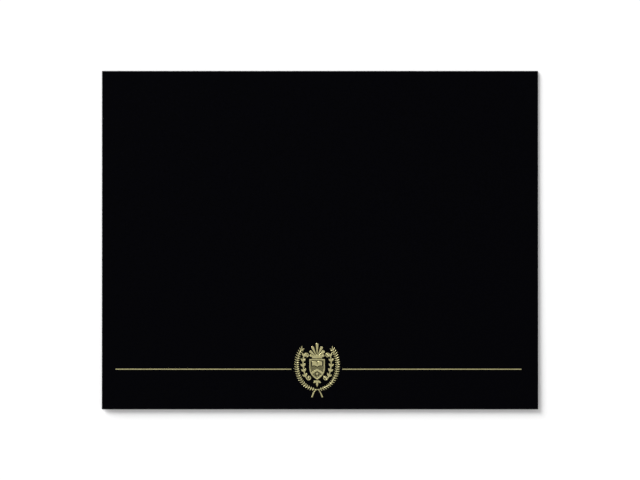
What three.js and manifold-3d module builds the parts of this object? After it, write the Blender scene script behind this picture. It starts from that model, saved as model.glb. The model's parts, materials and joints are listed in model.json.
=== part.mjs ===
// A diploma cover. One sheet of heavy black card is folded along its top edge, so that the front
// leaf opens upwards off the back leaf. Gold foil on the front leaf makes a crest near the lower
// edge and a fine rule on either side of it. Four slits through the back leaf hold the corners of
// a certificate that lies between the leaves.
//
// Units are millimetres. The closed cover lies on its back: +X runs to the right along the fold,
// +Y runs up the front to the fold, and +Z comes out of the front. The origin is the middle of the
// cover's footprint, on the surface that it lies on.

import * as THREE from "three";
import { mergeVertices } from "three/addons/utils/BufferGeometryUtils.js";
import Module from "manifold-3d";

// The certificate that the cover holds, and the card that shows round it
const certificateWidth = 279.4;
const certificateHeight = 215.9;
const sideMargin = 12.7; // at its left and its right
const endMargin = 10.3; // above and below it

// The card and its fold
const cardThickness = 0.4;
const foldGap = 0.7; // between the two leaves where they meet the fold
const foldClearance = 0.1; // between the two halves of the fold, so that they can turn
const ajarAngle = 0.25; // degrees by which the card springs open when nothing presses on it
const foldSteps = 6; // flats around each half of the fold

// The slits that hold the certificate by its corners
const slitSetback = 30; // from a corner of the certificate, along each of its two sides
const slitOverrun = 1.6; // by which a slit runs past each side of the certificate
const slitWidth = 0.8;

// The gold foil, and where its crest sits on the front leaf
const foilThickness = 0.12;
const foilBond = 0.01; // the glue between foil and card
const crestOffset = -2; // across, from the middle of the cover to the middle of the crest
const crestMargin = 8.7; // up, from the cover's lower edge to the feet of the crest
const motifGap = 0.5; // bare card between two motifs that stand one on another

// The rules on either side of the crest
const ruleThickness = 0.65;
const ruleRise = 27.95; // up, from the cover's lower edge to the middle of a rule
const ruleMarginLeft = 9.6; // from the cover's side to the end of the rule
const ruleMarginRight = 11.6;
const ruleClearanceLeft = 3.95; // from the widest part of the wreath's stem to the rule's near end
const ruleClearanceRight = 3.45;

// The laurel wreath: two branches that cross below the shield. Places in the crest are pairs, out
// from its middle and up from its feet, which are the ends of the two stems.
const branchTip = [10.7, 33]; // where the stem of a branch ends and its last two leaves start
const branchUpperHandle = [17.5, 24.3]; // the handles of the stem's curve
const branchLowerHandle = [14, 5.8];
const crossingHeight = 5.1;
const stemThickness = 0.35;
const bareStem = 1.7; // length of stem without leaves, before the crossing
const legBend = 1.7; // how far a stem runs on past the crossing before it turns down
const footSpread = 3.6; // from the middle to the foot of each stem
const kneeSpread = 2.5; // from the middle to the handle that turns a stem down to its foot
const footThickness = 0.95;
const leafPairs = 22; // on each branch, below the two leaves at its tip
const leafLength = 2.3; // on the outside of the branch, near its tip
const innerLeafLength = 1.65;
const lowestLeafShare = 0.7; // length of the leaves next to the crossing, as a share of those
const tipLeafLength = 3; // of the outer leaf at the tip
const leafWidth = 0.66;
const leafSplay = 64; // degrees between a leaf and its stem
const tipSplay = 30; // the same for the two leaves at the tip

// The shield, with an open book over a chevron and a star under it
const shieldRise = 11.9; // from the feet to the point of the shield
const shieldWidth = 10.8;
const shieldHeight = 14.4;
const shieldShoulder = 6.2; // how far down from the top its sides stay upright
const shieldBelly = 4.1; // how far its sides' curve is drawn straight down from the shoulder
const shieldKeel = 1.7; // how far the curve's last stretch rises from the point
const rimWidth = 0.75;
const rimPoint = 1.1; // height of the rim's lower end, at the point of the shield
const chevronDrop = 6.7; // from the top of the shield down to the peak of the chevron
const chevronSlope = 32; // degrees
const chevronWidth = 1.3;
const bookWidth = 7;
const bookHeight = 4.1;
const bookArch = 0.7; // by which the top of each page rises over its ends
const gutterWidth = 0.3;
const starPoints = 5;
const starRadius = 1.45;
const starWaist = 0.6; // radius of its inner corners

// The palmette that stands on the shield
const petals = 7;
const petalFan = 152; // degrees from the first petal to the last
const petalLength = 9.7; // of the middle petal
const outerPetalLength = 5.3; // of the first and the last
const petalWidth = 1.85;
const palmetteBase = 7; // width of the bar that the petals stand on
const palmetteBar = 0.9; // height of that bar
const palmetteHub = 1.7; // radius of the half disc over the bar

// The scroll on either side of the shield: a stem with leaves that curls into a volute at each end
const lowerEye = [5.8, 13.3]; // the middle of its lower volute
const upperEye = [7.3, 28.9]; // and of its upper one
const scrollBow = 4.4; // length of the handles of its curve between the volutes
const scrollThickness = 0.85;
const scrollTip = 0.42; // thickness where the stem runs into an eye
const voluteRadius = 1.6; // from an eye to the middle of the stem
const voluteTurns = 1.25;
const voluteLean = 32; // degrees by which the stem leans outwards where it leaves a volute
const voluteEye = 0.5;
const scrollLeafPairs = 5;
const scrollLeafLength = 2.8;
const scrollLeafWidth = 1.25;
const scrollLeafSplay = 38; // degrees between a leaf and the stem

// The drop of three leaves that hangs under the shield
const dropLength = 4.5;
const dropWidth = 1.4;
const dropSideLength = 3.2;
const dropSplay = 58; // degrees between its middle leaf and those beside it

// How finely curves are drawn, as numbers of straight stretches
const curveSteps = 5; // along each curve of a foil's outline
const slitEndSteps = 6; // round each end of a slit
const branchSteps = 24;
const legSteps = 8;
const spiralSteps = 14; // along each volute's line
const bowSteps = 8; // along the line between the volutes
const scrollSteps = 56; // along a scroll's whole outline
const mergeDistance = 1e-4; // corners that lie closer than this are one corner

// Worked out from the sizes above. The fold turns about its outermost line, half way up.
const coverWidth = certificateWidth + 2 * sideMargin;
const coverHeight = certificateHeight + 2 * endMargin;
const foldRadius = cardThickness + foldGap / 2;
const foldInnerRadius = foldGap / 2;
const foldLine = coverHeight / 2;
const foilRest = foldGap / 2 + cardThickness + foilBond;
const crestFeet = -coverHeight + crestMargin;
const wreathHalfWidth = Math.max(...branchCurve(1).getPoints(branchSteps).map((point) => point.x));
const wreathLeft = crestOffset - wreathHalfWidth;
const wreathRight = crestOffset + wreathHalfWidth;

const cardBlack = { color: 0x07070a, roughness: 0.7, metalness: 0 };
const foilGold = { color: 0xcdc392, roughness: 0.35, metalness: 1 };

const wasm = await Module();
wasm.setup();

// Closed three.js geometry as a solid that can be joined and cut
function toSolid(geometry) {
  const bare = geometry.index ? geometry.toNonIndexed() : geometry.clone();
  bare.deleteAttribute("normal");
  bare.deleteAttribute("uv");
  const merged = mergeVertices(bare, mergeDistance);
  return new wasm.Manifold(
    new wasm.Mesh({
      numProp: 3,
      vertProperties: merged.attributes.position.array,
      triVerts: new Uint32Array(merged.index.array),
    }),
  );
}

function toGeometry(solid) {
  const { vertProperties, triVerts } = solid.getMesh();
  const geometry = new THREE.BufferGeometry();
  geometry.setAttribute("position", new THREE.BufferAttribute(vertProperties, 3));
  geometry.setIndex(new THREE.BufferAttribute(triVerts, 1));
  const faceted = geometry.toNonIndexed();
  faceted.computeVertexNormals();
  return faceted;
}

function named(name, geometry, finish) {
  const mesh = new THREE.Mesh(geometry, new THREE.MeshStandardMaterial(finish));
  mesh.name = name;
  return mesh;
}

// The card

// A leaf's section across the fold, in the frame of the fold's line: a flat strip below that line
// that ends in a quarter turn up to it.
function leafSection() {
  const section = new THREE.Shape();
  const lastAngle = -Math.asin(foldClearance / 2 / foldRadius);
  section.moveTo(-coverHeight, -foldRadius);
  for (let i = 0; i <= foldSteps; i++) {
    const angle = THREE.MathUtils.lerp(-Math.PI / 2, lastAngle, i / foldSteps);
    section.lineTo(-foldRadius + foldRadius * Math.cos(angle), foldRadius * Math.sin(angle));
  }
  const lastInnerAngle = -Math.asin(foldClearance / 2 / foldInnerRadius);
  for (let i = foldSteps; i >= 0; i--) {
    const angle = THREE.MathUtils.lerp(-Math.PI / 2, lastInnerAngle, i / foldSteps);
    section.lineTo(-foldRadius + foldInnerRadius * Math.cos(angle), foldInnerRadius * Math.sin(angle));
  }
  section.lineTo(-coverHeight, -foldInnerRadius);
  return section;
}

// The section is drawn in Y and Z, and runs along X for the cover's width.
function leafGeometry() {
  const geometry = new THREE.ExtrudeGeometry(leafSection(), { depth: coverWidth, bevelEnabled: false });
  geometry.translate(0, 0, -coverWidth / 2);
  geometry.applyMatrix4(
    new THREE.Matrix4().makeBasis(
      new THREE.Vector3(0, 1, 0),
      new THREE.Vector3(0, 0, 1),
      new THREE.Vector3(1, 0, 0),
    ),
  );
  return geometry;
}

// A slot with round ends, cut right through the leaf across one corner of the certificate
function slitGeometry(sideX, sideY) {
  const reach = slitSetback + 2 * slitOverrun;
  const length = Math.SQRT2 * reach;
  const slot = new THREE.Shape();
  slot.absarc(length / 2, 0, slitWidth / 2, -Math.PI / 2, Math.PI / 2);
  slot.absarc(-length / 2, 0, slitWidth / 2, Math.PI / 2, (3 * Math.PI) / 2);
  const cutterDepth = 4 * cardThickness;
  const cutter = new THREE.ExtrudeGeometry(slot, {
    depth: cutterDepth,
    bevelEnabled: false,
    curveSegments: slitEndSteps,
  });
  cutter.translate(0, 0, -cutterDepth / 2);
  cutter.rotateZ(-sideX * sideY * (Math.PI / 4));
  cutter.translate(
    sideX * (certificateWidth / 2 - slitSetback / 2),
    -coverHeight / 2 + sideY * (certificateHeight / 2 - slitSetback / 2),
    -foldRadius + cardThickness / 2,
  );
  return cutter;
}

function backLeaf() {
  let leaf = toSolid(leafGeometry());
  for (const sideX of [-1, 1]) {
    for (const sideY of [-1, 1]) {
      leaf = leaf.subtract(toSolid(slitGeometry(sideX, sideY)));
    }
  }
  return named("back_cover", toGeometry(leaf), cardBlack);
}

// The back leaf's section turned over, so that the two halves of the fold face each other
function frontLeaf() {
  const leaf = leafGeometry();
  leaf.rotateY(Math.PI);
  return named("front_cover", leaf, cardBlack);
}

// Shapes for the foil

function almond(length, width) {
  const shape = new THREE.Shape();
  shape.moveTo(0, 0);
  shape.quadraticCurveTo(length / 2, -width, length, 0);
  shape.quadraticCurveTo(length / 2, width, 0, 0);
  return shape;
}

// Narrow at its root and round at its tip
function teardrop(length, width) {
  const round = width / 2;
  const shape = new THREE.Shape();
  shape.moveTo(0, 0);
  shape.lineTo(length - round, -round);
  shape.absarc(length - round, 0, round, -Math.PI / 2, Math.PI / 2);
  shape.lineTo(0, 0);
  return shape;
}

function disc(radius) {
  return new THREE.Shape().absarc(0, 0, radius, 0, 2 * Math.PI);
}

function halfDisc(radius) {
  return new THREE.Shape().absarc(0, 0, radius, 0, Math.PI);
}

function bar(width, height) {
  const shape = new THREE.Shape();
  shape.moveTo(-width / 2, 0);
  shape.lineTo(width / 2, 0);
  shape.lineTo(width / 2, height);
  shape.lineTo(-width / 2, height);
  return shape;
}

// A strip along a plane curve, whose thickness is a function of the way along it, from 0 to 1
function strip(curve, thickness, steps) {
  const near = [];
  const far = [];
  for (let i = 0; i <= steps; i++) {
    const along = i / steps;
    const point = curve.getPointAt(along);
    const tangent = curve.getTangentAt(along);
    const across = new THREE.Vector2(-tangent.y, tangent.x).multiplyScalar(thickness(along) / 2);
    near.push(point.clone().sub(across));
    far.unshift(point.clone().add(across));
  }
  return new THREE.Shape([...near, ...far]);
}

// Foil of a plane shape, turned and then moved in the plane of the crest
function foil(shape, x = 0, y = 0, turn = 0) {
  const geometry = new THREE.ExtrudeGeometry(shape, {
    depth: foilThickness,
    bevelEnabled: false,
    curveSegments: curveSteps,
  });
  geometry.rotateZ(turn);
  geometry.translate(x, y, 0);
  return geometry;
}

// Foils that touch are one piece of foil.
function fused(name, foils) {
  const solid = foils.map(toSolid).reduce((whole, piece) => whole.add(piece));
  return named(name, toGeometry(solid), foilGold);
}

const angleOf = (vector) => Math.atan2(vector.y, vector.x);

// The motifs of the crest, each in the crest's own frame: across from its middle, up from its feet

// The place of a pair, on one side of the crest
function placed([out, up], side) {
  return new THREE.Vector2(side * out, up);
}

// One branch's stem, from its tip to the crossing
function branchCurve(side) {
  return new THREE.CubicBezierCurve(
    placed(branchTip, side),
    placed(branchUpperHandle, side),
    placed(branchLowerHandle, side),
    new THREE.Vector2(0, crossingHeight),
  );
}

// The same stem from the crossing to its foot on the other side
function legCurve(side) {
  const branch = branchCurve(side);
  return new THREE.CubicBezierCurve(
    branch.v3,
    branch.v3.clone().addScaledVector(branch.getTangent(1), legBend),
    placed([kneeSpread, crossingHeight / 2], -side),
    placed([footSpread, 0], -side),
  );
}

function wreath() {
  const foils = [];
  for (const side of [-1, 1]) {
    const branch = branchCurve(side);
    foils.push(foil(strip(branch, () => stemThickness, branchSteps)));
    const legThickness = (along) => THREE.MathUtils.lerp(stemThickness, footThickness, along);
    foils.push(foil(strip(legCurve(side), legThickness, legSteps)));
    const upward = branch.getTangentAt(0).negate();
    const tip = branch.getPointAt(0).addScaledVector(upward, -stemThickness);
    const spread = side * THREE.MathUtils.degToRad(tipSplay);
    foils.push(foil(almond(tipLeafLength, leafWidth), tip.x, tip.y, angleOf(upward) - spread));
    foils.push(foil(almond(leafLength, leafWidth), tip.x, tip.y, angleOf(upward) + spread));
    const leafyShare = 1 - bareStem / branch.getLength();
    const splay = side * THREE.MathUtils.degToRad(leafSplay);
    for (let i = 0; i < leafPairs; i++) {
      const share = (i + 0.5) / leafPairs;
      const size = THREE.MathUtils.lerp(1, lowestLeafShare, share ** 3);
      const joint = branch.getPointAt(leafyShare * share);
      const growth = angleOf(branch.getTangentAt(leafyShare * share).negate());
      foils.push(foil(almond(size * leafLength, leafWidth), joint.x, joint.y, growth - splay));
      foils.push(foil(almond(size * innerLeafLength, leafWidth), joint.x, joint.y, growth + splay));
    }
  }
  return fused("foil_wreath", foils);
}

// A shield whose origin is the middle of its top edge
function shieldOutline(width, height, shoulder) {
  const belly = -shoulder - shieldBelly;
  const keel = -height + shieldKeel;
  const shape = new THREE.Shape();
  shape.moveTo(-width / 2, 0);
  shape.lineTo(-width / 2, -shoulder);
  shape.bezierCurveTo(-width / 2, belly, -width / 4, keel, 0, -height);
  shape.bezierCurveTo(width / 4, keel, width / 2, belly, width / 2, -shoulder);
  shape.lineTo(width / 2, 0);
  return shape;
}

function shield() {
  const top = shieldRise + shieldHeight;
  const innerWidth = shieldWidth - 2 * rimWidth;
  const innerHeight = shieldHeight - rimWidth - rimPoint;
  const outline = toSolid(foil(shieldOutline(shieldWidth, shieldHeight, shieldShoulder), 0, top));
  const opening = foil(shieldOutline(innerWidth, innerHeight, shieldShoulder - rimWidth), 0, top - rimWidth);
  // Thicker than the foil on both faces, so that it cuts right through
  opening.scale(1, 1, 3);
  opening.translate(0, 0, -foilThickness);
  const rim = outline.subtract(toSolid(opening));
  const slope = THREE.MathUtils.degToRad(chevronSlope);
  const fall = (shieldWidth / 2) * Math.tan(slope);
  const drop = chevronWidth / Math.cos(slope);
  const peak = top - chevronDrop;
  const chevron = new THREE.Shape([
    new THREE.Vector2(0, peak),
    new THREE.Vector2(-shieldWidth / 2, peak - fall),
    new THREE.Vector2(-shieldWidth / 2, peak - fall - drop),
    new THREE.Vector2(0, peak - drop),
    new THREE.Vector2(shieldWidth / 2, peak - fall - drop),
    new THREE.Vector2(shieldWidth / 2, peak - fall),
  ]);
  const band = toSolid(foil(chevron)).intersect(outline);
  return named("foil_shield", toGeometry(rim.add(band)), foilGold);
}

// An open book seen from the front, whose two pages are parted by a gutter down to their feet
function book() {
  const top = shieldRise + shieldHeight - rimWidth - motifGap;
  const foot = top - bookHeight;
  const half = bookWidth / 2;
  const pageTop = top - bookArch;
  const shape = new THREE.Shape();
  shape.moveTo(0, foot);
  shape.quadraticCurveTo(half / 2, foot + 2 * bookArch, half, foot + bookArch);
  shape.lineTo(half, pageTop);
  shape.quadraticCurveTo(half / 2, top + bookArch, gutterWidth / 2, pageTop);
  shape.lineTo(gutterWidth / 2, foot + 2 * bookArch);
  shape.lineTo(-gutterWidth / 2, foot + 2 * bookArch);
  shape.lineTo(-gutterWidth / 2, pageTop);
  shape.quadraticCurveTo(-half / 2, top + bookArch, -half, pageTop);
  shape.lineTo(-half, foot + bookArch);
  shape.quadraticCurveTo(-half / 2, foot + 2 * bookArch, 0, foot);
  return named("foil_book", foil(shape), foilGold);
}

function star() {
  const shape = new THREE.Shape();
  for (let i = 0; i < 2 * starPoints; i++) {
    const radius = i % 2 ? starWaist : starRadius;
    const angle = Math.PI / 2 + (i * Math.PI) / starPoints;
    const place = [radius * Math.cos(angle), radius * Math.sin(angle)];
    if (i === 0) shape.moveTo(...place);
    else shape.lineTo(...place);
  }
  const peak = shieldRise + shieldHeight - chevronDrop;
  const drop = chevronWidth / Math.cos(THREE.MathUtils.degToRad(chevronSlope));
  return named("foil_star", foil(shape, 0, peak - drop - motifGap - starRadius), foilGold);
}

function palmette() {
  const base = shieldRise + shieldHeight + motifGap;
  const hub = base + palmetteBar;
  const foils = [foil(bar(palmetteBase, palmetteBar), 0, base), foil(halfDisc(palmetteHub), 0, hub)];
  for (let i = 0; i < petals; i++) {
    const across = (2 * i) / (petals - 1) - 1;
    const lean = THREE.MathUtils.degToRad((petalFan / 2) * across);
    const length = THREE.MathUtils.lerp(petalLength, outerPetalLength, Math.abs(across));
    foils.push(foil(teardrop(length, petalWidth), 0, hub, Math.PI / 2 - lean));
  }
  return fused("foil_palmette", foils);
}

// The line of a scroll's stem: a spiral out of its lower eye, a bow, and a spiral into its upper eye
function scrollCurve(side) {
  const lean = THREE.MathUtils.degToRad(voluteLean);
  const volute = ([eyeX, eyeY], turnSign, along) => {
    const radius = THREE.MathUtils.lerp(voluteRadius, voluteEye, along);
    const angle = turnSign * (lean + along * voluteTurns * 2 * Math.PI);
    return new THREE.Vector2(side * (eyeX + radius * Math.cos(angle)), eyeY + radius * Math.sin(angle));
  };
  const low = volute(lowerEye, -1, 0);
  const high = volute(upperEye, 1, 0);
  const outward = side * scrollBow * Math.sin(lean);
  const upward = scrollBow * Math.cos(lean);
  const bow = new THREE.CubicBezierCurve(
    low,
    new THREE.Vector2(low.x + outward, low.y + upward),
    new THREE.Vector2(high.x + outward, high.y - upward),
    high,
  );
  const line = [];
  for (let i = spiralSteps; i > 0; i--) line.push(volute(lowerEye, -1, i / spiralSteps));
  for (let i = 0; i <= bowSteps; i++) line.push(bow.getPoint(i / bowSteps));
  for (let i = 1; i <= spiralSteps; i++) line.push(volute(upperEye, 1, i / spiralSteps));
  return { bow, stem: new THREE.SplineCurve(line) };
}

function scroll(name, side) {
  const { bow, stem } = scrollCurve(side);
  const thickness = (along) => THREE.MathUtils.lerp(scrollTip, scrollThickness, Math.sin(Math.PI * along));
  const foils = [foil(strip(stem, thickness, scrollSteps))];
  for (const [eyeX, eyeY] of [lowerEye, upperEye]) {
    foils.push(foil(disc(voluteEye), side * eyeX, eyeY));
  }
  for (let i = 0; i < scrollLeafPairs; i++) {
    const along = (i + 0.5) / scrollLeafPairs;
    const joint = bow.getPointAt(along);
    const growth = angleOf(bow.getTangentAt(along));
    for (const splay of [-scrollLeafSplay, scrollLeafSplay]) {
      const turn = growth + THREE.MathUtils.degToRad(splay);
      foils.push(foil(almond(scrollLeafLength, scrollLeafWidth), joint.x, joint.y, turn));
    }
  }
  return fused(name, foils);
}

function drop() {
  const top = shieldRise - motifGap;
  const foils = [foil(almond(dropLength, dropWidth), 0, top, -Math.PI / 2)];
  for (const side of [-1, 1]) {
    const turn = -Math.PI / 2 + side * THREE.MathUtils.degToRad(dropSplay);
    foils.push(foil(almond(dropSideLength, dropWidth), 0, top, turn));
  }
  return fused("foil_drop", foils);
}

// A rule between two places across the cover
function rule(name, fromX, toX) {
  const y = -coverHeight + ruleRise - ruleThickness / 2;
  const geometry = foil(bar(toX - fromX, ruleThickness), (fromX + toX) / 2, y);
  geometry.translate(0, 0, foilRest);
  return named(name, geometry, foilGold);
}

const cover = new THREE.Group();
const backHalf = new THREE.Group();
const frontHalf = new THREE.Group();
backHalf.position.set(0, foldLine, foldRadius);
frontHalf.position.set(0, foldLine, foldRadius);
frontHalf.rotation.x = -THREE.MathUtils.degToRad(ajarAngle);
backHalf.add(backLeaf());
frontHalf.add(frontLeaf());

const crest = new THREE.Group();
crest.position.set(crestOffset, crestFeet, foilRest);
crest.add(wreath(), shield(), book(), star(), palmette(), drop());
crest.add(scroll("foil_scroll_left", -1), scroll("foil_scroll_right", 1));
frontHalf.add(crest);
frontHalf.add(
  rule("foil_rule_left", -coverWidth / 2 + ruleMarginLeft, wreathLeft - ruleClearanceLeft),
  rule("foil_rule_right", wreathRight + ruleClearanceRight, coverWidth / 2 - ruleMarginRight),
);

cover.add(backHalf, frontHalf);

export default cover;
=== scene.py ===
"""The looks of a diploma cover: one folded sheet of black card with a gold foil crest and rules.

The sheet is one continuous mesh that bends at its fold, with four slits through its back leaf.
Each motif of the crest is a relief of its own: a grid over the motif's plane outline, trimmed to
that outline and raised by a height field, which follows the face of the front leaf. Inside the
shape functions lengths are in millimetres, and meshes are made in metres.
"""

import json
import math

import bpy
import numpy as np
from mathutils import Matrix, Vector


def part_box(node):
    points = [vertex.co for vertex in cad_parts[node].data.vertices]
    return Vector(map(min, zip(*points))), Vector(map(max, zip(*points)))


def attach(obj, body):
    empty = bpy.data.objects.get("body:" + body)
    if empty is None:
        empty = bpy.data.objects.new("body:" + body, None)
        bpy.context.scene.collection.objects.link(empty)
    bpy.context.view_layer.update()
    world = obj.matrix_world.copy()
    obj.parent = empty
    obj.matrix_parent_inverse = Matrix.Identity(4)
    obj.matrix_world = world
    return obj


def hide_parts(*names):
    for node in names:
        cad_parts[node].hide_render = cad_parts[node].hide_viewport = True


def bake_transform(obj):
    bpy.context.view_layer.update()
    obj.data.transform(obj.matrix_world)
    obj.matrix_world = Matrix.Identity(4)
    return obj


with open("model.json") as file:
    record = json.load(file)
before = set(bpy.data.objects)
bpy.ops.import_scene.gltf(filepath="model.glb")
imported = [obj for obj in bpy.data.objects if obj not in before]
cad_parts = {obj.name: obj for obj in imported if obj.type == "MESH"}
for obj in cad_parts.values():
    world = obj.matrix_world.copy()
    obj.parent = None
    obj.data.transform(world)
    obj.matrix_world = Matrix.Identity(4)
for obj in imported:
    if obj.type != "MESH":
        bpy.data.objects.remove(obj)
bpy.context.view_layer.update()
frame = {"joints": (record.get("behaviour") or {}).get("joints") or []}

MM = 0.001

# The card, read from the frame where the frame has it
HINGE = frame["joints"][0]
HINGE_Y = HINGE["pos_m"][1] / MM
FOLD_RADIUS = HINGE["pos_m"][2] / MM  # of the bend's outer face
AJAR = math.radians(180 - HINGE["range_deg"][1])  # how far open the front leaf stands at rest
LEAF_LOW, LEAF_HIGH = (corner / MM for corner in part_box("back_cover"))
COVER_WIDTH = LEAF_HIGH.x - LEAF_LOW.x
COVER_HEIGHT = LEAF_HIGH.y - LEAF_LOW.y
FOLD_Y = HINGE_Y - FOLD_RADIUS  # where the flat leaves meet the bend
FLAT_LENGTH = COVER_HEIGHT - FOLD_RADIUS  # of a leaf, from the bend to its free edge
CARD = 0.4  # thickness
CARD_EDGE = 0.05  # rounding of the cut edges
SHARP_EDGE = math.radians(60)  # the least angle between two faces whose shared edge is rounded

# The front leaf's dip. SAG and SAG_WAVE add up to less than 0.25, because with more the leaf,
# which stands ajar, would still reach below the height at which its bend ends.
SAG = 0.2  # below a straight line, half way along the leaf
SAG_WAVE = 0.04  # by how much more or less it is across the leaf
SAG_HALF_WAVES = 2.3  # over the leaf's width
SAG_PHASE = 0.7

# The groove pressed along the fold, on the outside of each leaf
SCORE_DEPTH = 0.05
SCORE_WIDTH = 0.5
SCORE_SETBACK = 1.3  # from the bend

# The slits that hold a certificate by its corners
CERTIFICATE_WIDTH = 279.4
CERTIFICATE_HEIGHT = 215.9
SLIT_SETBACK = 30  # from a corner of the certificate, along each of its two sides
SLIT_OVERRUN = 1.6  # by which a slit runs past each side of the certificate
SLIT_WIDTH = 0.8
CUTTER_BELOW = CARD  # by which the solid that cuts a slit stands past the leaf's outer face
CUTTER_ABOVE = 0.2 * CARD  # and past its inner face

# How finely the sheet is drawn, as numbers of points
SHEET_COLUMNS = 81  # across the cover
SCORE_ROWS = 25  # along a leaf, round its groove
LEAF_ROWS = 60  # along the rest of it
BEND_ROWS = 17
SLIT_END_POINTS = 7

# The foil's relief
GRID = 0.08  # between the points of a motif's height field
RULE_GRID = (0.3, 0.075)  # the same along and across a rule
GRID_MARGIN = 2  # cells of the grid round a motif's box
LEAST_STEEPNESS = 0.25  # the least that a way to the outline is divided by
FOIL_SEAT = 0.02  # by which a motif reaches into the card
FOIL_LIP = 0.03  # height of its rim over the card
FOIL_TOP = 0.12  # height of its highest places
FOIL_EDGE = 0.16  # width of the slope from the rim up to the face
FOIL_SHOULDER = 0.45  # rise of the face where its crown is lowest, as a share of its full rise
FAR = 1e3  # further than any motif reaches

# The crest: where it sits on the cover, and how its motifs stand on each other
CREST_OFFSET = -2  # across, from the middle of the cover to the middle of the crest
CREST_MARGIN = 8.7  # up, from the cover's lower edge to the feet of the crest
MOTIF_GAP = 0.5  # bare card between two motifs that stand one on another

# The laurel wreath. Places in the crest are pairs, out from its middle and up from its feet.
BRANCH_TIP = (10.7, 33)
BRANCH_UPPER_HANDLE = (17.5, 24.3)
BRANCH_LOWER_HANDLE = (14, 5.8)
CROSSING_HEIGHT = 5.1
STEM_THICKNESS = 0.35
BARE_STEM = 1.7  # length of stem without leaves, before the crossing
LEG_BEND = 1.7  # how far a stem runs on past the crossing before it turns down
FOOT_SPREAD = 3.6  # from the middle to the foot of each stem
KNEE_SPREAD = 2.5  # from the middle to the handle that turns a stem down to its foot
FOOT_THICKNESS = 0.95
LEAF_PAIRS = 22
LEAF_LENGTH = 2.3  # on the outside of the branch, near its tip
INNER_LEAF_LENGTH = 1.65
LOWEST_LEAF_SHARE = 0.7  # length of the leaves next to the crossing, as a share of those
TIP_LEAF_LENGTH = 3  # of the outer leaf at the tip
TIP_SHARE = 0.01  # where the leaves at the tip start, as a share of the branch
LEAF_WIDTH = 0.66
LEAF_SPLAY = math.radians(64)
TIP_SPLAY = math.radians(30)
LEAST_HALF_WIDTH = 0.01  # the least that a leaf's crown is worked out from, at its ends
VEIN_WIDTH = 0.07
VEIN_DEPTH = 0.75  # as a share of the leaf's crown
VEIN_FADE = 0.25  # share of the leaf over which its vein fades out at either end
BRANCH_POINTS = 61
LEG_POINTS = 21

# The shield and what stands in it
SHIELD_RISE = 11.9  # from the feet to the point of the shield
SHIELD_WIDTH = 10.8
SHIELD_HEIGHT = 14.4
SHIELD_TOP = SHIELD_RISE + SHIELD_HEIGHT
SHIELD_SHOULDER = 6.2  # how far down from the top its sides stay upright
SHIELD_BELLY = 4.1  # how far its sides' curve is drawn straight down from the shoulder
SHIELD_KEEL = 1.7  # how far the curve's last stretch rises from the point
SHIELD_POINTS = 17  # along each of its sides' curves
RIM_WIDTH = 0.75
RIM_POINT = 1.1  # height of the rim's lower end, at the point of the shield
CHEVRON_SLOPE = math.radians(32)
CHEVRON_WIDTH = 1.3
CHEVRON_DROP = 6.7  # from the top of the shield down to the peak of the chevron
CHEVRON_PEAK = SHIELD_TOP - CHEVRON_DROP
CHEVRON_HEIGHT = CHEVRON_WIDTH / math.cos(CHEVRON_SLOPE)  # of its band, measured upright
HATCH_PITCH = 0.62  # between the fine lines that fill the shield's field
HATCH_WIDTH = 0.24
HATCH_TOP = 0.05  # height of the lines over the card
HATCH_CLEARANCE = 0.45  # bare card left round the book and the star
BOOK_WIDTH = 7
BOOK_HEIGHT = 4.1
BOOK_TOP = SHIELD_TOP - RIM_WIDTH - MOTIF_GAP
BOOK_ARCH = 0.7  # by which the top of each page rises over its ends
BOOK_FALL = 0.5  # by how much lower the foil is at a page's outer side, as a share of the crown
GUTTER_WIDTH = 0.3
PAGE_POINTS = 9  # along each curve of a page
PAGE_LINES = 4
PAGE_LINE_WIDTH = 0.13  # as a share of the lines' pitch
PAGE_LINE_DEPTH = 0.6  # as a share of the crown
PAGE_BORDER = 0.35  # from a page's edge to its lines
PAGE_BORDER_FADE = 0.1
STAR_POINTS = 5
STAR_RADIUS = 1.45
STAR_WAIST = 0.6  # radius of its inner corners
STAR_SLOPE = 0.8 * STAR_WAIST  # width of its facets, from the outline up to a ridge

# The palmette that stands on the shield
PETALS = 7
PETAL_FAN = math.radians(152)
PETAL_LENGTH = 9.7
OUTER_PETAL_LENGTH = 5.3
PETAL_WIDTH = 1.85
PETAL_TAIL = 1  # how far behind its root a petal's sides are still worked out
PETAL_GROOVE_INSET = 0.28  # from a petal's outline to the groove that follows it
PETAL_GROOVE_WIDTH = 0.1
PETAL_GROOVE_DEPTH = 0.8  # as a share of the crown
PALMETTE_BASE = 7  # width of the bar that the petals stand on
PALMETTE_BAR = 0.9  # height of that bar
PALMETTE_HUB = 1.7  # radius of the half disc over the bar
HUB_OVERLAP = 0.2  # by which the half disc reaches down into the bar

# The scroll on either side of the shield
LOWER_EYE = (5.8, 13.3)
UPPER_EYE = (7.3, 28.9)
SCROLL_BOW = 4.4  # length of the handles of its curve between the volutes
SCROLL_THICKNESS = 0.85
SCROLL_TIP = 0.42  # thickness where the stem runs into an eye
VOLUTE_RADIUS = 1.6  # from an eye to the middle of the stem
VOLUTE_TURNS = 1.25
VOLUTE_LEAN = math.radians(32)  # by which the stem leans outwards where it leaves a volute
VOLUTE_EYE = 0.5
VOLUTE_POINTS = 29
BOW_POINTS = 25
SCROLL_POINTS = 90  # along the whole stem
SCROLL_LEAF_PAIRS = 5
SCROLL_LEAF_LENGTH = 2.8
SCROLL_LEAF_WIDTH = 1.25
SCROLL_LEAF_SPLAY = math.radians(38)

# The drop of three leaves under the shield
DROP_LENGTH = 4.5
DROP_WIDTH = 1.4
DROP_SIDE_LENGTH = 3.2
DROP_SPLAY = math.radians(58)

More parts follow.
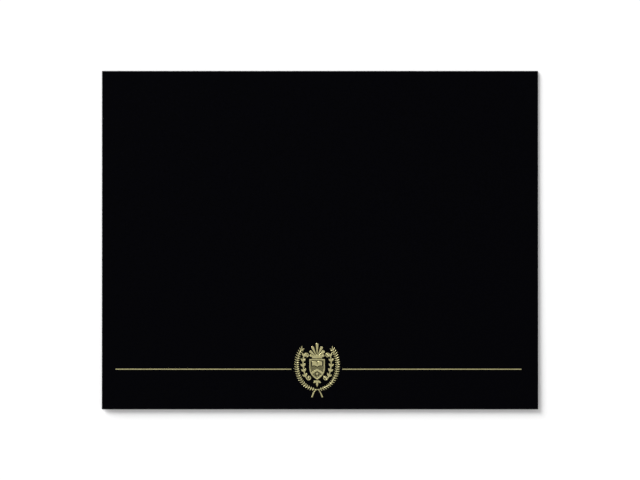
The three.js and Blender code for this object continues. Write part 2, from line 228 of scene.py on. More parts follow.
# The surfaces. Colours are linear shares of red, green and blue, and the scales of noises are
# numbers of grains in a metre.
NOISE_SPAN = (0.3, 0.7)  # the part of a noise's values that a change is spread over
CARD_DARK = (0.0006, 0.0006, 0.0011)
CARD_PALE = (0.001, 0.001, 0.0019)
CARD_MOTTLE_SCALE = 900
CARD_CLOUD_SCALE = 90
CARD_CLOUD_ROUGHNESS = (0.62, 0.68)
TOOTH_SCALE = 5200
TOOTH_HEIGHT = 0.03 * MM
TOOTH_ON_CARD = 0.5  # how strongly the tooth shows
TOOTH_ON_FOIL = 0.3
FIBRE_SCALE = 1400
FIBRE_HEIGHT = 0.06 * MM
FIBRES_ON_CARD = 0.35
FOIL_DARK = (0.555, 0.508, 0.245)
FOIL_PALE = (0.695, 0.642, 0.34)
FOIL_MOTTLE_SCALE = 700
FOIL_GLOSS_SCALE = 1100
FOIL_GLOSS_ROUGHNESS = (0.24, 0.36)

# The light. The key comes from beyond the upper left corner of the cover.
KEY_ELEVATION = math.radians(20)
KEY_BEARING = math.radians(-138)
KEY_SPREAD = math.radians(38)
KEY_STRENGTH = 4.9
WALL_LIGHT = 0.3
CEILING_LIGHT = 0.66

# The floor
FLOOR_REACH = 6  # in metres, from its middle to each side
FLOOR_GAP = 0.05  # under the cover
FLOOR_GREY = 0.8  # its colour where it lights the cover and isn't seen itself


# What the card and the foil share


def front_point(x, down, height):
    """Points in metres, from places across and down the front leaf and heights over its middle."""
    share = np.clip(down / FLAT_LENGTH, 0, 1)
    dip = SAG + SAG_WAVE * np.sin(SAG_HALF_WAVES * math.pi * x / COVER_WIDTH + SAG_PHASE)
    lift = height - 4 * share * (1 - share) * dip
    middle = FOLD_RADIUS - CARD / 2
    y = FOLD_Y + (middle + lift) * math.sin(AJAR) - down * math.cos(AJAR)
    z = FOLD_RADIUS + (middle + lift) * math.cos(AJAR) + down * math.sin(AJAR)
    return np.stack(np.broadcast_arrays(x, y, z), axis=-1) * MM


def new_piece(name, points, faces, material):
    """A smooth mesh, from points in metres and faces between them."""
    mesh = bpy.data.meshes.new(name)
    mesh.from_pydata(points.tolist(), [], faces)
    mesh.validate()
    mesh.shade_smooth()
    mesh.materials.append(material)
    piece = bpy.data.objects.new(name, mesh)
    bpy.context.scene.collection.objects.link(piece)
    return piece


def apply_modifiers(piece):
    """Leaves a piece with the mesh that its modifiers make, and no modifiers."""
    evaluated = piece.evaluated_get(bpy.context.evaluated_depsgraph_get())
    mesh = bpy.data.meshes.new_from_object(evaluated)
    piece.modifiers.clear()
    piece.data = mesh


def bell(distance, width):
    """1 at no distance, and next to nothing from twice the width on."""
    return np.exp(-((distance / width) ** 2))


# The sheet of card


def score(distance):
    """Depth of the pressed groove at a distance from the bend along a leaf."""
    return SCORE_DEPTH * bell(distance - SCORE_SETBACK, SCORE_WIDTH / 2)


def leaf_stations():
    """Distances from the bend along a leaf, close together where its groove runs."""
    groove = np.linspace(0, 2 * SCORE_SETBACK, SCORE_ROWS)
    rest = np.linspace(2 * SCORE_SETBACK, FLAT_LENGTH, LEAF_ROWS)[1:]
    return np.concatenate([groove, rest])


def level_row(x, y, z):
    """Points in metres along a level line across the cover."""
    return np.stack([x, np.full_like(x, y), np.full_like(x, z)], axis=-1) * MM


def sheet_face(x, outer):
    """The outer or the inner face of the sheet, as rows of points from one free edge to the other."""
    side = 1 if outer else -1
    rows = []
    for distance in leaf_stations()[::-1]:
        depth = score(distance) if outer else 0
        rows.append(level_row(x, FOLD_Y - distance, CARD / 2 - side * CARD / 2 + depth))
    radius = FOLD_RADIUS if outer else FOLD_RADIUS - CARD
    for angle in np.linspace(-math.pi / 2, math.pi / 2 - AJAR, BEND_ROWS)[1:-1]:
        y = FOLD_Y + radius * math.cos(angle)
        z = FOLD_RADIUS + radius * math.sin(angle)
        rows.append(level_row(x, y, z))
    for distance in leaf_stations():
        depth = score(distance) if outer else 0
        rows.append(front_point(x, distance, side * CARD / 2 - depth))
    return np.array(rows)


def sheet_faces(rows, columns):
    """Faces that close the sheet, whose points run row by row over its outer, then its inner face."""
    outer, inner = np.arange(2 * rows * columns).reshape(2, rows, columns).tolist()
    faces = []
    for i in range(rows - 1):
        for j in range(columns - 1):
            faces.append((outer[i + 1][j], outer[i + 1][j + 1], outer[i][j + 1], outer[i][j]))
            faces.append((inner[i][j + 1], inner[i + 1][j + 1], inner[i + 1][j], inner[i][j]))
    for i in range(rows - 1):
        faces.append((inner[i][0], inner[i + 1][0], outer[i + 1][0], outer[i][0]))
        faces.append((inner[i + 1][-1], inner[i][-1], outer[i][-1], outer[i + 1][-1]))
    for j in range(columns - 1):
        faces.append((inner[0][j + 1], inner[0][j], outer[0][j], outer[0][j + 1]))
        faces.append((inner[-1][j], inner[-1][j + 1], outer[-1][j + 1], outer[-1][j]))
    return faces


def slit_cutter(side_x, side_y):
    """A slot with round ends across one corner of the certificate, through the back leaf."""
    length = math.sqrt(2) * (SLIT_SETBACK + 2 * SLIT_OVERRUN)
    turn = -side_x * side_y * math.pi / 4
    centre_x = side_x * (CERTIFICATE_WIDTH - SLIT_SETBACK) / 2
    centre_y = side_y * (CERTIFICATE_HEIGHT - SLIT_SETBACK) / 2
    outline = []
    for end in (1, -1):
        for angle in np.linspace(-math.pi / 2, math.pi / 2, SLIT_END_POINTS):
            along = end * (length / 2 + SLIT_WIDTH / 2 * math.cos(angle))
            across = end * SLIT_WIDTH / 2 * math.sin(angle)
            x = centre_x + along * math.cos(turn) - across * math.sin(turn)
            y = centre_y + along * math.sin(turn) + across * math.cos(turn)
            outline.append((x, y))
    count = len(outline)
    low = [(x, y, -CUTTER_BELOW) for x, y in outline]
    high = [(x, y, CARD + CUTTER_ABOVE) for x, y in outline]
    sides = [(i, (i + 1) % count, count + (i + 1) % count, count + i) for i in range(count)]
    faces = [tuple(range(count))[::-1], tuple(range(count, 2 * count)), *sides]
    return np.array(low + high) * MM, faces


def slit_cutters(material):
    """The four solids that cut the slits."""
    cutters = []
    for side_x in (-1, 1):
        for side_y in (-1, 1):
            points, faces = slit_cutter(side_x, side_y)
            cutters.append(new_piece(f"slit_{side_x}_{side_y}", points, faces, material))
    return cutters


def sheet_of_card(material):
    """The whole sheet, with its slits cut and its cut edges rounded, bending at the fold."""
    x = np.linspace(-COVER_WIDTH / 2, COVER_WIDTH / 2, SHEET_COLUMNS)
    outer, inner = sheet_face(x, outer=True), sheet_face(x, outer=False)
    points = np.concatenate([outer.reshape(-1, 3), inner.reshape(-1, 3)])
    sheet = new_piece("card_sheet", points, sheet_faces(len(outer), SHEET_COLUMNS), material)

    cutters = slit_cutters(material)
    for cutter in cutters:
        cut = sheet.modifiers.new("slit", "BOOLEAN")
        cut.operation = "DIFFERENCE"
        cut.solver = "EXACT"
        cut.object = cutter
    rounding = sheet.modifiers.new("cut edges", "BEVEL")
    rounding.width = CARD_EDGE * MM
    rounding.segments = 2
    rounding.limit_method = "ANGLE"
    rounding.angle_limit = SHARP_EDGE
    rounding.harden_normals = True
    apply_modifiers(sheet)
    for cutter in cutters:
        bpy.data.objects.remove(cutter)

    # The bend starts at the back leaf's inner face and ends at the front leaf's.
    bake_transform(sheet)
    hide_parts("back_cover", "front_cover")


# Shapes of foil. Each function gives two fields over a motif's grid: how far inside the shape a
# point is, which is negative outside it, and the relief's height there.


def smooth_step(value):
    """Goes from 0 to 1 with its argument, and starts and ends level."""
    value = np.clip(value, 0, 1)
    return value * value * (3 - 2 * value)


def raised(inside, crown):
    """The relief's height, from the distance inside the shape and its crown from 0 to 1."""
    rise = FOIL_SHOULDER + (1 - FOIL_SHOULDER) * crown
    return FOIL_LIP + (FOIL_TOP - FOIL_LIP) * smooth_step(inside / FOIL_EDGE) * rise


def ridged(inside, width):
    """A bar, highest along its middle."""
    return inside, raised(inside, np.clip(2 * inside / width, 0, 1))


def rounded(inside, half_width):
    """A shape with a round back."""
    return inside, raised(inside, np.sqrt(np.clip(inside / half_width, 0, 1)))


def turned(x, y, place, turn):
    """Distances along and across a direction from a place."""
    along = (x - place[0]) * math.cos(turn) + (y - place[1]) * math.sin(turn)
    across = (y - place[1]) * math.cos(turn) - (x - place[0]) * math.sin(turn)
    return along, across


def leaf(x, y, place, turn, length, width):
    """An almond between two parabolas, with a vein along its middle."""
    along, across = turned(x, y, place, turn)
    share = along / length
    half = 2 * share * (1 - share) * width
    slope = 2 * width / length * (1 - 2 * share)
    inside = (half - abs(across)) / np.sqrt(1 + slope**2)
    crown = 1 - np.clip(across / np.maximum(half, LEAST_HALF_WIDTH), -1, 1) ** 2
    vein = bell(across, VEIN_WIDTH) * smooth_step(share / VEIN_FADE) * smooth_step((1 - share) / VEIN_FADE)
    return inside, raised(inside, crown - VEIN_DEPTH * vein)


def petal(x, y, place, turn, length, width):
    """A petal with straight sides and a round end, and a groove that follows its outline."""
    along, across = turned(x, y, place, turn)
    middle = length - width / 2
    flank = width / 2 * np.clip(along, -PETAL_TAIL, middle) / middle
    inside = np.where(along < middle, flank - abs(across), width / 2 - np.hypot(along - middle, across))
    groove = bell(inside - PETAL_GROOVE_INSET, PETAL_GROOVE_WIDTH)
    return inside, raised(inside, 1 - PETAL_GROOVE_DEPTH * groove)


def disc(x, y, place, radius):
    """A disc with a round back."""
    return rounded(radius - np.hypot(x - place[0], y - place[1]), radius)


def stretch_distance(x, y, start, end):
    """Distances to a straight stretch, and how far along it the nearest places are, from 0 to 1."""
    run = end - start
    share = np.clip(((x - start[0]) * run[0] + (y - start[1]) * run[1]) / (run @ run), 0, 1)
    return np.hypot(x - start[0] - share * run[0], y - start[1] - share * run[1]), share


def strip(x, y, points, thicknesses):
    """A strip along a line of points, with a thickness at each."""
    inside = np.full_like(x, -FAR)
    half = np.ones_like(x)
    for start, end, thin, thick in zip(points[:-1], points[1:], thicknesses[:-1], thicknesses[1:]):
        apart, share = stretch_distance(x, y, start, end)
        reach = (thin + (thick - thin) * share) / 2
        nearer = reach - apart > inside
        inside = np.where(nearer, reach - apart, inside)
        half = np.where(nearer, reach, half)
    return rounded(inside, half)


def outline_distance(x, y, corners):
    """How far inside a plane outline each point is."""
    nearest = np.full_like(x, FAR)
    within = np.zeros(x.shape, bool)
    for start, end in zip(corners, np.roll(corners, -1, axis=0)):
        apart, _ = stretch_distance(x, y, start, end)
        nearest = np.minimum(nearest, apart)
        if start[1] != end[1]:
            crossing = start[0] + (y - start[1]) * (end[0] - start[0]) / (end[1] - start[1])
            within ^= ((y > start[1]) != (y > end[1])) & (x < crossing)
    return np.where(within, nearest, -nearest)


def together(shapes):
    """Shapes that run into each other, as one."""
    inside = np.max([shape[0] for shape in shapes], axis=0)
    height = np.max([np.where(shape[0] > 0, shape[1], 0) for shape in shapes], axis=0)
    return inside, height


# Curves


def bezier(handles, share):
    """Points of a Bezier curve of any degree, at shares from 0 to 1."""
    layer = [np.outer(np.ones_like(share), handle) for handle in handles]
    while len(layer) > 1:
        layer = [a + (b - a) * share[:, None] for a, b in zip(layer[:-1], layer[1:])]
    return layer[0]


def lengths_along(points):
    """How far along a line of points each of them lies."""
    steps = np.hypot(*np.diff(points, axis=0).T)
    return np.concatenate([[0], np.cumsum(steps)])


def evenly(points, shares):
    """Places and directions at shares of the length of a line of points."""
    lengths = lengths_along(points)
    wanted = np.asarray(shares) * lengths[-1]
    reach = 0.05  # by which a direction is measured before and after its place

    def places_at(distances):
        return np.stack([np.interp(distances, lengths, points[:, i]) for i in (0, 1)], axis=-1)

    run = places_at(wanted + reach) - places_at(wanted - reach)
    return places_at(wanted), np.arctan2(run[:, 1], run[:, 0])


def mirrored(pair, side):
    """A place on the crest's right side, or its mirror image where side is -1."""
    return np.array([side * pair[0], pair[1]], float)


# The motifs


def branch_leaves(x, y, branch, side):
    """Two leaves at a branch's tip and pairs below. A branch runs down, and its leaves grow up it."""
    (tip,), (tip_turn,) = evenly(branch, [TIP_SHARE])
    growth = tip_turn + math.pi
    shapes = [leaf(x, y, tip, growth - side * TIP_SPLAY, TIP_LEAF_LENGTH, LEAF_WIDTH)]
    shapes.append(leaf(x, y, tip, growth + side * TIP_SPLAY, LEAF_LENGTH, LEAF_WIDTH))
    leafy = 1 - BARE_STEM / lengths_along(branch)[-1]
    shares = (np.arange(LEAF_PAIRS) + 0.5) / LEAF_PAIRS
    scales = 1 + (LOWEST_LEAF_SHARE - 1) * shares**3
    places, turns = evenly(branch, leafy * shares)
    for place, turn, scale in zip(places, turns, scales):
        growth = turn + math.pi
        outer_turn, inner_turn = growth - side * LEAF_SPLAY, growth + side * LEAF_SPLAY
        shapes.append(leaf(x, y, place, outer_turn, scale * LEAF_LENGTH, LEAF_WIDTH))
        shapes.append(leaf(x, y, place, inner_turn, scale * INNER_LEAF_LENGTH, LEAF_WIDTH))
    return shapes


def wreath(x, y):
    """Two branches whose stems cross under the shield and run on to their feet."""
    shapes = []
    crossing = np.array([0, CROSSING_HEIGHT])
    for side in (-1, 1):
        upper = mirrored(BRANCH_UPPER_HANDLE, side)
        lower = mirrored(BRANCH_LOWER_HANDLE, side)
        handles = [mirrored(BRANCH_TIP, side), upper, lower, crossing]
        branch = bezier(handles, np.linspace(0, 1, BRANCH_POINTS))
        shapes.append(strip(x, y, branch, np.full(BRANCH_POINTS, STEM_THICKNESS)))
        bend = crossing + LEG_BEND * (crossing - lower) / np.linalg.norm(crossing - lower)
        knee = mirrored((KNEE_SPREAD, CROSSING_HEIGHT / 2), -side)
        foot = mirrored((FOOT_SPREAD, 0), -side)
        leg = bezier([crossing, bend, knee, foot], np.linspace(0, 1, LEG_POINTS))
        shapes.append(strip(x, y, leg, np.linspace(STEM_THICKNESS, FOOT_THICKNESS, LEG_POINTS)))
        shapes.extend(branch_leaves(x, y, branch, side))
    return together(shapes)


def shield_outline(width, height, shoulder, top):
    """The corners of a shield whose top edge is at a height."""
    belly = -shoulder - SHIELD_BELLY
    keel = -height + SHIELD_KEEL
    handles = [(-width / 2, -shoulder), (-width / 2, belly), (-width / 4, keel), (0, -height)]
    left = bezier(handles, np.linspace(0, 1, SHIELD_POINTS))
    right = (left * (-1, 1))[-2::-1]
    corners = np.concatenate([[(-width / 2, 0)], left, right, [(width / 2, 0)]])
    return corners + (0, top)


def chevron_outline():
    """A band as wide as the shield, bent at its peak."""
    side = SHIELD_WIDTH / 2
    foot = CHEVRON_PEAK - side * math.tan(CHEVRON_SLOPE)
    upper = [(side, foot), (0, CHEVRON_PEAK), (-side, foot)]
    lower = [(x, y - CHEVRON_HEIGHT) for x, y in upper[::-1]]
    return np.array(upper + lower)


def book_outline():
    """Two pages that a gutter parts down to their feet."""
    foot = BOOK_TOP - BOOK_HEIGHT
    half = BOOK_WIDTH / 2
    page_top = BOOK_TOP - BOOK_ARCH
    share = np.linspace(0, 1, PAGE_POINTS)
    gutter_foot = (GUTTER_WIDTH / 2, foot + 2 * BOOK_ARCH)
    lower = bezier([(0, foot), (half / 2, foot + 2 * BOOK_ARCH), (half, foot + BOOK_ARCH)], share)
    upper = bezier([(half, page_top), (half / 2, BOOK_TOP + BOOK_ARCH), (GUTTER_WIDTH / 2, page_top)], share)
    right = np.concatenate([lower, upper, [gutter_foot]])
    left = (right * (-1, 1))[:0:-1]
    return np.concatenate([right, left])


def star_outline():
    """The corners of a star that stands under the chevron's peak."""
    middle = CHEVRON_PEAK - CHEVRON_HEIGHT - MOTIF_GAP - STAR_RADIUS
    corners = []
    for i in range(2 * STAR_POINTS):
        radius = STAR_WAIST if i % 2 else STAR_RADIUS
        angle = math.pi / 2 + i * math.pi / STAR_POINTS
        corners.append((radius * math.cos(angle), middle + radius * math.sin(angle)))
    return np.array(corners)


def shield(x, y):
    """A rim and a chevron, with fine lines over the field."""
    outer_corners = shield_outline(SHIELD_WIDTH, SHIELD_HEIGHT, SHIELD_SHOULDER, SHIELD_TOP)
    inner_corners = shield_outline(
        SHIELD_WIDTH - 2 * RIM_WIDTH,
        SHIELD_HEIGHT - RIM_WIDTH - RIM_POINT,
        SHIELD_SHOULDER - RIM_WIDTH,
        SHIELD_TOP - RIM_WIDTH,
    )
    outer = outline_distance(x, y, outer_corners)
    field = outline_distance(x, y, inner_corners)
    rim = ridged(np.minimum(outer, -field), RIM_WIDTH)
    chevron_inside = outline_distance(x, y, chevron_outline())
    chevron = ridged(np.minimum(chevron_inside, outer), CHEVRON_WIDTH)

    # Fine upright lines fill the field, clear of the motifs on it and joined to the rim.
    taken = np.maximum(outline_distance(x, y, book_outline()), outline_distance(x, y, star_outline()))
    to_line = abs((x / HATCH_PITCH + 0.5) % 1 - 0.5) * HATCH_PITCH
    lines = np.minimum(HATCH_WIDTH / 2 - to_line, field + RIM_WIDTH / 2)
    lines = np.minimum(lines, -taken - HATCH_CLEARANCE)
    hatch = lines, np.full_like(x, HATCH_TOP)
    return together([rim, chevron, hatch])


def book(x, y):
    """An open book with lines pressed into its pages."""
    inside = outline_distance(x, y, book_outline())
    out = abs(x) / (BOOK_WIDTH / 2)
    arch = BOOK_ARCH * 4 * out * (1 - out)
    line_pitch = (BOOK_HEIGHT - 2 * BOOK_ARCH) / PAGE_LINES
    down_page = (BOOK_TOP - y + arch / 2) / line_pitch
    lined = smooth_step((inside - PAGE_BORDER) / PAGE_BORDER_FADE)
    groove = bell(down_page % 1 - 0.5, PAGE_LINE_WIDTH) * lined
    swell = 1 - out * BOOK_FALL
    return inside, raised(inside, swell - PAGE_LINE_DEPTH * groove)


def star(x, y):
    """A star whose facets slope up from its outline."""
    inside = outline_distance(x, y, star_outline())
    return inside, FOIL_LIP + (FOIL_TOP - FOIL_LIP) * np.clip(inside / STAR_SLOPE, 0, 1)


def palmette(x, y):
    """A fan of petals over a half disc and a bar."""
    base = SHIELD_TOP + MOTIF_GAP
    hub = base + PALMETTE_BAR
    bar = np.minimum(PALMETTE_BASE / 2 - abs(x), PALMETTE_BAR / 2 - abs(y - base - PALMETTE_BAR / 2))
    dome_inside, dome_height = disc(x, y, (0, hub), PALMETTE_HUB)
    dome = np.minimum(dome_inside, y - hub + HUB_OVERLAP), dome_height
    shapes = [ridged(bar, PALMETTE_BAR), dome]
    for i in range(PETALS):
        across = 2 * i / (PETALS - 1) - 1
        length = PETAL_LENGTH + (OUTER_PETAL_LENGTH - PETAL_LENGTH) * abs(across)
        turn = math.pi / 2 - PETAL_FAN / 2 * across
        shapes.append(petal(x, y, (0, hub), turn, length, PETAL_WIDTH))
    return together(shapes)


def volute(eye, turn_sign, along):
    """Points of a spiral round a scroll's eye, at shares from its stem to the eye."""
    radius = VOLUTE_RADIUS + (VOLUTE_EYE - VOLUTE_RADIUS) * along
    angle = turn_sign * (VOLUTE_LEAN + along * VOLUTE_TURNS * 2 * math.pi)
    return np.stack([eye[0] + radius * np.cos(angle), eye[1] + radius * np.sin(angle)], axis=-1)


def scroll(x, y):
    """The right scroll. The left one is its mirror image."""
    along = np.linspace(0, 1, VOLUTE_POINTS)
    lower, upper = volute(LOWER_EYE, -1, along), volute(UPPER_EYE, 1, along)
    lean = SCROLL_BOW * np.array([math.sin(VOLUTE_LEAN), math.cos(VOLUTE_LEAN)])
    handles = [lower[0], lower[0] + lean, upper[0] + lean * (1, -1), upper[0]]
    bow = bezier(handles, np.linspace(0, 1, BOW_POINTS))
    line = np.concatenate([lower[::-1], bow[1:-1], upper])
    stem, _ = evenly(line, np.linspace(0, 1, SCROLL_POINTS))
    swell = np.sin(np.linspace(0, math.pi, SCROLL_POINTS))
    shapes = [strip(x, y, stem, SCROLL_TIP + (SCROLL_THICKNESS - SCROLL_TIP) * swell)]
    for eye in (LOWER_EYE, UPPER_EYE):
        shapes.append(disc(x, y, eye, VOLUTE_EYE))
    places, turns = evenly(bow, (np.arange(SCROLL_LEAF_PAIRS) + 0.5) / SCROLL_LEAF_PAIRS)
    for place, turn in zip(places, turns):
        for splay in (-SCROLL_LEAF_SPLAY, SCROLL_LEAF_SPLAY):
            shapes.append(leaf(x, y, place, turn + splay, SCROLL_LEAF_LENGTH, SCROLL_LEAF_WIDTH))
    return together(shapes)


def drop(x, y):
    """Three leaves that hang from one place."""
    top = (0, SHIELD_RISE - MOTIF_GAP)
    shapes = [leaf(x, y, top, -math.pi / 2, DROP_LENGTH, DROP_WIDTH)]
    for side in (-1, 1):
        shapes.append(leaf(x, y, top, -math.pi / 2 + side * DROP_SPLAY, DROP_SIDE_LENGTH, DROP_WIDTH))
    return together(shapes)


# Meshes of foil


def used_grid(within):
    """The cells of a grid that a shape touches, and the corners of those cells."""
    cells = within[:-1, :-1] | within[:-1, 1:] | within[1:, :-1] | within[1:, 1:]
    corners = np.zeros(within.shape, bool)
    for rows in (slice(None, -1), slice(1, None)):
        for columns in (slice(None, -1), slice(1, None)):
            corners[rows, columns] |= cells
    return cells, corners


def trim_to_outline(x, y, inside, used, step_x, step_y):
    """Moves the outside corners of the used cells onto the shape's outline."""
    slope_y, slope_x = np.gradient(inside, step_y, step_x)
    steepness = np.maximum(slope_x**2 + slope_y**2, LEAST_STEEPNESS)
    shift = np.where(used & (inside < 0), -inside / steepness, 0)
    shift_x = np.clip(shift * slope_x, -step_x, step_x)
    shift_y = np.clip(shift * slope_y, -step_y, step_y)
    return x + shift_x, y + shift_y


def relief_faces(cells, used):
    """Faces over and under the used cells, and walls where those end. The lower points come last."""
    count = int(used.sum())
    index = np.full(used.shape, -1)
    index[used] = np.arange(count)
    corner = np.stack([index[:-1, :-1], index[:-1, 1:], index[1:, 1:], index[1:, :-1]], axis=-1)
    top_faces = corner[cells]
    walls = []
    padded = np.pad(cells, 1)
    neighbours = (padded[:-2, 1:-1], padded[1:-1, 2:], padded[2:, 1:-1], padded[1:-1, :-2])
    for i, neighbour in enumerate(neighbours):
        edge = corner[cells & ~neighbour]
        start, end = edge[:, i], edge[:, (i + 1) % 4]
        walls.append(np.stack([start + count, end + count, end, start], axis=-1))
    return np.concatenate([top_faces, top_faces[:, ::-1] + count, *walls])


def crest_box(name, mirror=1):
    """The lowest and the highest corner of a motif's own solid, in the crest's plane."""
    low, high = (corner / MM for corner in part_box(name))
    feet_y = CREST_MARGIN - COVER_HEIGHT / 2
    left, right = sorted(mirror * (corner.x - CREST_OFFSET) for corner in (low, high))
    return (left, low.y - feet_y), (right, high.y - feet_y)


def foil_piece(name, shape, material, mirror=1, grid=(GRID, GRID)):
    """A closed relief that fills the box of its own solid, set on the front leaf."""
    axes = []
    for low, high, step in zip(*crest_box(name, mirror), grid):
        axes.append(np.arange(low - GRID_MARGIN * step, high + (GRID_MARGIN + 1) * step, step))
    x, y = np.meshgrid(*axes)
    inside, height = shape(x, y)
    within = inside > 0
    cells, used = used_grid(within)
    x, y = trim_to_outline(x, y, inside, used, *grid)
    height = np.where(within, height, FOIL_LIP)

    across = CREST_OFFSET + mirror * x[used]
    down = FLAT_LENGTH - CREST_MARGIN - y[used]
    face = CARD / 2
    upper = front_point(across, down, face + height[used])
    lower = front_point(across, down, face - FOIL_SEAT)
    faces = relief_faces(cells, used)
    if mirror < 0:
        faces = faces[:, ::-1]
    piece = new_piece(name, np.concatenate([upper, lower]), faces.tolist(), material)
    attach(piece, "front_leaf")
    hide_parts(name)


def rule_piece(name, material):
    """A rule, from its own solid's box."""
    (left, lower), (right, upper) = crest_box(name)

    def bar(x, y):
        inside = np.minimum(np.minimum(x - left, right - x), np.minimum(y - lower, upper - y))
        return ridged(inside, upper - lower)

    foil_piece(name, bar, material, grid=RULE_GRID)


# Materials


def new_material(name):
    """A material, its node tree and its shader."""
    material = bpy.data.materials.new(name)
    material.use_nodes = True
    tree = material.node_tree
    return material, tree, tree.nodes["Principled BSDF"]


def noise(tree, scale, detail, roughness=0.5):
    """A noise that is fixed to the piece it is on."""
    place = tree.nodes.new("ShaderNodeTexCoord")
    texture = tree.nodes.new("ShaderNodeTexNoise")
    texture.inputs["Scale"].default_value = scale
    texture.inputs["Detail"].default_value = detail
    texture.inputs["Roughness"].default_value = roughness
    tree.links.new(place.outputs["Object"], texture.inputs["Vector"])
    return texture.outputs["Fac"]


def between(tree, value, low, high, start=0, end=1):
    """A number from low to high, which may be outputs of nodes, as value goes from start to end."""
    spread = tree.nodes.new("ShaderNodeMapRange")
    spread.inputs["From Min"].default_value = start
    spread.inputs["From Max"].default_value = end
    for socket, number in (("To Min", low), ("To Max", high)):
        if isinstance(number, bpy.types.NodeSocket):
            tree.links.new(number, spread.inputs[socket])
        else:
            spread.inputs[socket].default_value = number
    tree.links.new(value, spread.inputs["Value"])
    return spread.outputs["Result"]


def mottled(tree, value, dark, pale):
    """A colour that goes from dark to pale with a noise."""
    ramp = tree.nodes.new("ShaderNodeValToRGB")
    for element, position, colour in zip(ramp.color_ramp.elements, NOISE_SPAN, (dark, pale)):
        element.position = position
        element.color = (*colour, 1)
    tree.links.new(value, ramp.inputs["Fac"])
    return ramp.outputs["Color"]


def bumped(tree, shader, layers):
    """Adds bump layers to a shader, each a noise with its own height in metres and strength."""
    normal = None
    for value, height, strength in layers:
        bump = tree.nodes.new("ShaderNodeBump")
        bump.inputs["Distance"].default_value = height
        bump.inputs["Strength"].default_value = strength
        tree.links.new(value, bump.inputs["Height"])
        if normal is not None:
            tree.links.new(normal, bump.inputs["Normal"])
        normal = bump.outputs["Normal"]
    tree.links.new(normal, shader.inputs["Normal"])


def tooth(tree):
    """The grain of the card's surface, which the foil takes on as well."""
    return noise(tree, TOOTH_SCALE, detail=3, roughness=0.6)


def card_material():
    """Matt black card, dyed through, with a fine tooth and faint clouds in its surface."""
    material, tree, shader = new_material("black_card")
    shade = mottled(tree, noise(tree, CARD_MOTTLE_SCALE, detail=4), CARD_DARK, CARD_PALE)
    tree.links.new(shade, shader.inputs["Base Color"])
    clouds = noise(tree, CARD_CLOUD_SCALE, detail=5, roughness=0.65)
    tree.links.new(between(tree, clouds, *CARD_CLOUD_ROUGHNESS, *NOISE_SPAN), shader.inputs["Roughness"])
    shader.inputs["Specular IOR Level"].default_value = 0.012
    shader.inputs["Sheen Weight"].default_value = 0.09
    shader.inputs["Sheen Roughness"].default_value = 0.3
    shader.inputs["Sheen Tint"].default_value = (0.85, 0.86, 1, 1)
    fibres = noise(tree, FIBRE_SCALE, detail=2)
    layers = [(tooth(tree), TOOTH_HEIGHT, TOOTH_ON_CARD), (fibres, FIBRE_HEIGHT, FIBRES_ON_CARD)]
    bumped(tree, shader, layers)
    return material


def foil_material():
    """Pale gold stamping foil, satin, with the card's tooth showing faintly through it."""
    material, tree, shader = new_material("gold_foil")
    shade = mottled(tree, noise(tree, FOIL_MOTTLE_SCALE, detail=3), FOIL_DARK, FOIL_PALE)
    tree.links.new(shade, shader.inputs["Base Color"])
    shader.inputs["Metallic"].default_value = 1
    gloss = noise(tree, FOIL_GLOSS_SCALE, detail=3)
    tree.links.new(between(tree, gloss, *FOIL_GLOSS_ROUGHNESS, *NOISE_SPAN), shader.inputs["Roughness"])
    bumped(tree, shader, [(tooth(tree), TOOTH_HEIGHT, TOOTH_ON_FOIL)])
    return material


# The floor, the lights and the camera


def for_rays(tree, names):
    """1 for rays of the named kinds, and 0 for the rest."""
    rays = tree.nodes.new("ShaderNodeLightPath")
    share = rays.outputs[names[0]]
    for name in names[1:]:
        larger = tree.nodes.new("ShaderNodeMath")
        larger.operation = "MAXIMUM"
        tree.links.new(share, larger.inputs[0])
        tree.links.new(rays.outputs[name], larger.inputs[1])
        share = larger.outputs["Value"]
    return share


def floor():
    """A pale floor that just reaches white where no shadow falls."""
    material, tree, shader = new_material("pale_floor")
    shader.inputs["Roughness"].default_value = 1
    shader.inputs["Specular IOR Level"].default_value = 0
    seen = for_rays(tree, ["Is Camera Ray", "Is Glossy Ray", "Is Transmission Ray"])
    tree.links.new(between(tree, seen, FLOOR_GREY, 1), shader.inputs["Base Color"])
    corners = [(FLOOR_REACH * x, FLOOR_REACH * y, 0) for x, y in ((-1, -1), (1, -1), (1, 1), (-1, 1))]
    mesh = bpy.data.meshes.new("floor")
    mesh.from_pydata(corners, [], [(0, 1, 2, 3)])
    mesh.materials.append(material)
    piece = bpy.data.objects.new("floor", mesh)
    piece.location.z = -FLOOR_GAP * MM
    bpy.context.scene.collection.objects.link(piece)


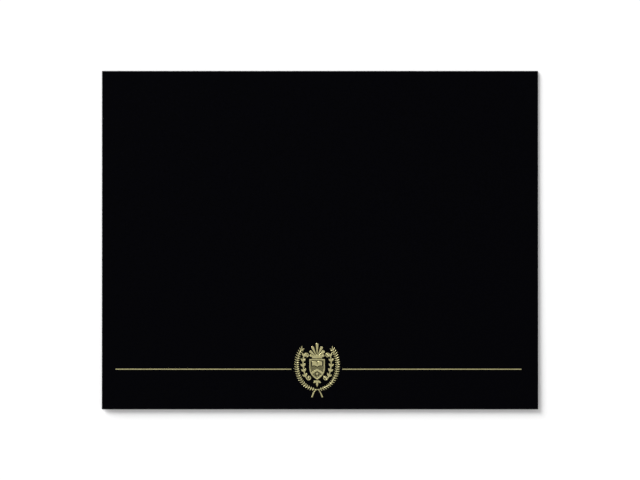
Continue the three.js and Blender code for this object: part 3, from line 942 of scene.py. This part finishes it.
def key_light():
    """A wide soft light from beyond the cover's upper left corner."""
    lamp = bpy.data.lights.new("key", "SUN")
    lamp.energy = KEY_STRENGTH
    lamp.angle = KEY_SPREAD
    light = bpy.data.objects.new("key", lamp)
    light.rotation_euler = (math.pi / 2 - KEY_ELEVATION, 0, KEY_BEARING)
    bpy.context.scene.collection.objects.link(light)


def surroundings():
    """A white room that is brighter overhead than at its walls, and plain white to the camera."""
    world = bpy.data.worlds.new("studio")
    bpy.context.scene.world = world
    world.use_nodes = True
    tree = world.node_tree
    direction = tree.nodes.new("ShaderNodeTexCoord")
    height = tree.nodes.new("ShaderNodeSeparateXYZ")
    tree.links.new(direction.outputs["Generated"], height.inputs["Vector"])
    lit = between(tree, height.outputs["Z"], WALL_LIGHT, CEILING_LIGHT)
    seen = for_rays(tree, ["Is Camera Ray"])
    background = tree.nodes["Background"]
    background.inputs["Color"].default_value = (1, 1, 1, 1)
    tree.links.new(between(tree, seen, lit, 1), background.inputs["Strength"])


def camera():
    """Straight above the cover. The view is as wide as the photograph's, at the height of the fold."""
    photo_width = 640
    cover_pixels = 435.9  # width of the cover in the photograph
    view_width = COVER_WIDTH * MM * photo_width / cover_pixels
    lens, sensor = 85, 36
    data = bpy.data.cameras.new("camera")
    data.lens = lens
    data.sensor_width = sensor
    data.clip_start = 0.01
    data.clip_end = 50
    piece = bpy.data.objects.new("camera", data)
    piece.location = (0, 0, 2 * FOLD_RADIUS * MM + view_width * lens / sensor)
    bpy.context.scene.collection.objects.link(piece)
    bpy.context.scene.camera = piece


def dress():
    """The sheet of card and the foils that are stamped on it."""
    card = card_material()
    foil = foil_material()
    sheet_of_card(card)
    motifs = {
        "foil_wreath": wreath,
        "foil_shield": shield,
        "foil_book": book,
        "foil_star": star,
        "foil_palmette": palmette,
        "foil_drop": drop,
    }
    for name, shape in motifs.items():
        foil_piece(name, shape, foil)
    foil_piece("foil_scroll_left", scroll, foil, mirror=-1)
    foil_piece("foil_scroll_right", scroll, foil)
    rule_piece("foil_rule_left", foil)
    rule_piece("foil_rule_right", foil)


dress()
floor()
surroundings()
key_light()
camera()
bpy.context.scene.view_settings.view_transform = "Standard"
